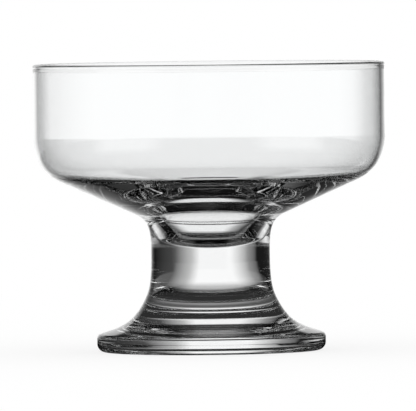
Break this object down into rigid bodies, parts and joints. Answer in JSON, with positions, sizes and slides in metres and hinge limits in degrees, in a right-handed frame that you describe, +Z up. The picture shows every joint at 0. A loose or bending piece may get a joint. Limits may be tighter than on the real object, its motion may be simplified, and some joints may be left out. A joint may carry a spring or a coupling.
{
  "type": "footed dessert glass",
  "caption": "Clear pressed-glass dessert dish: wide straight-sided bowl with a tapering well, on a short solid stem and a round foot.",
  "frame": {"origin": "centre of the plane that the foot rests on", "axes": "+Z up along the axis of revolution, from the foot to the rim"},
  "size_m": [0.104, 0.104, 0.085],
  "materials": {
    "foot_glass": "clear pressed soda-lime glass, fire polished, with a faint unevenness from the mould",
    "stem_glass": "clear pressed soda-lime glass, fire polished",
    "bowl_glass": "clear pressed soda-lime glass, fire polished, with a rounded bead at the rim"
  },
  "bodies": {
    "root": {"foot": "foot_glass", "stem": "stem_glass", "bowl": "bowl_glass"}
  },
  "joints": []
}
